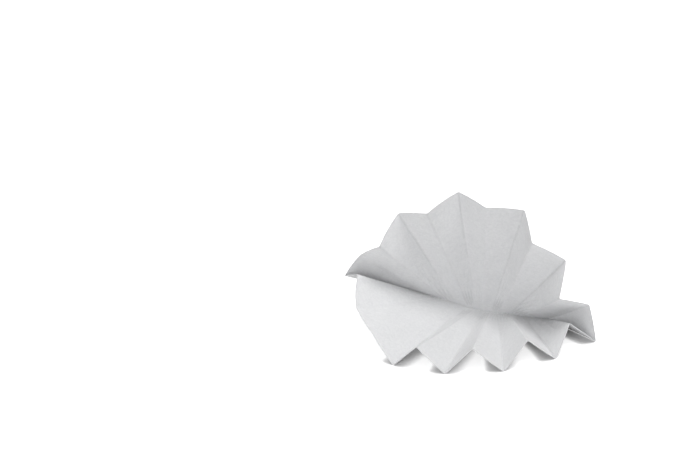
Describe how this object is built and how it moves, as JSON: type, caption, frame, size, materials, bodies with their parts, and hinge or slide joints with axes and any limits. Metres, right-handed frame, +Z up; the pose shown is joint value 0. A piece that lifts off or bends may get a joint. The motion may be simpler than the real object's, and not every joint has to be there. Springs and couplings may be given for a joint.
{
  "type": "folded filter paper",
  "caption": "Round sheet of plain filter paper, folded in half and pleated as a fan, opened into a fluted cone that lies on its side.",
  "frame": {"origin": "centre of the bounding box at its lowest level, on the surface that the paper lies on", "axes": "+Z up, +X to the right of the open mouth, -Y towards the open mouth"},
  "size_m": [0.1054, 0.0664, 0.0612],
  "materials": {
    "paper": "matte"
  },
  "bodies": {
    "root": {"filter_paper": "paper"}
  },
  "joints": []
}
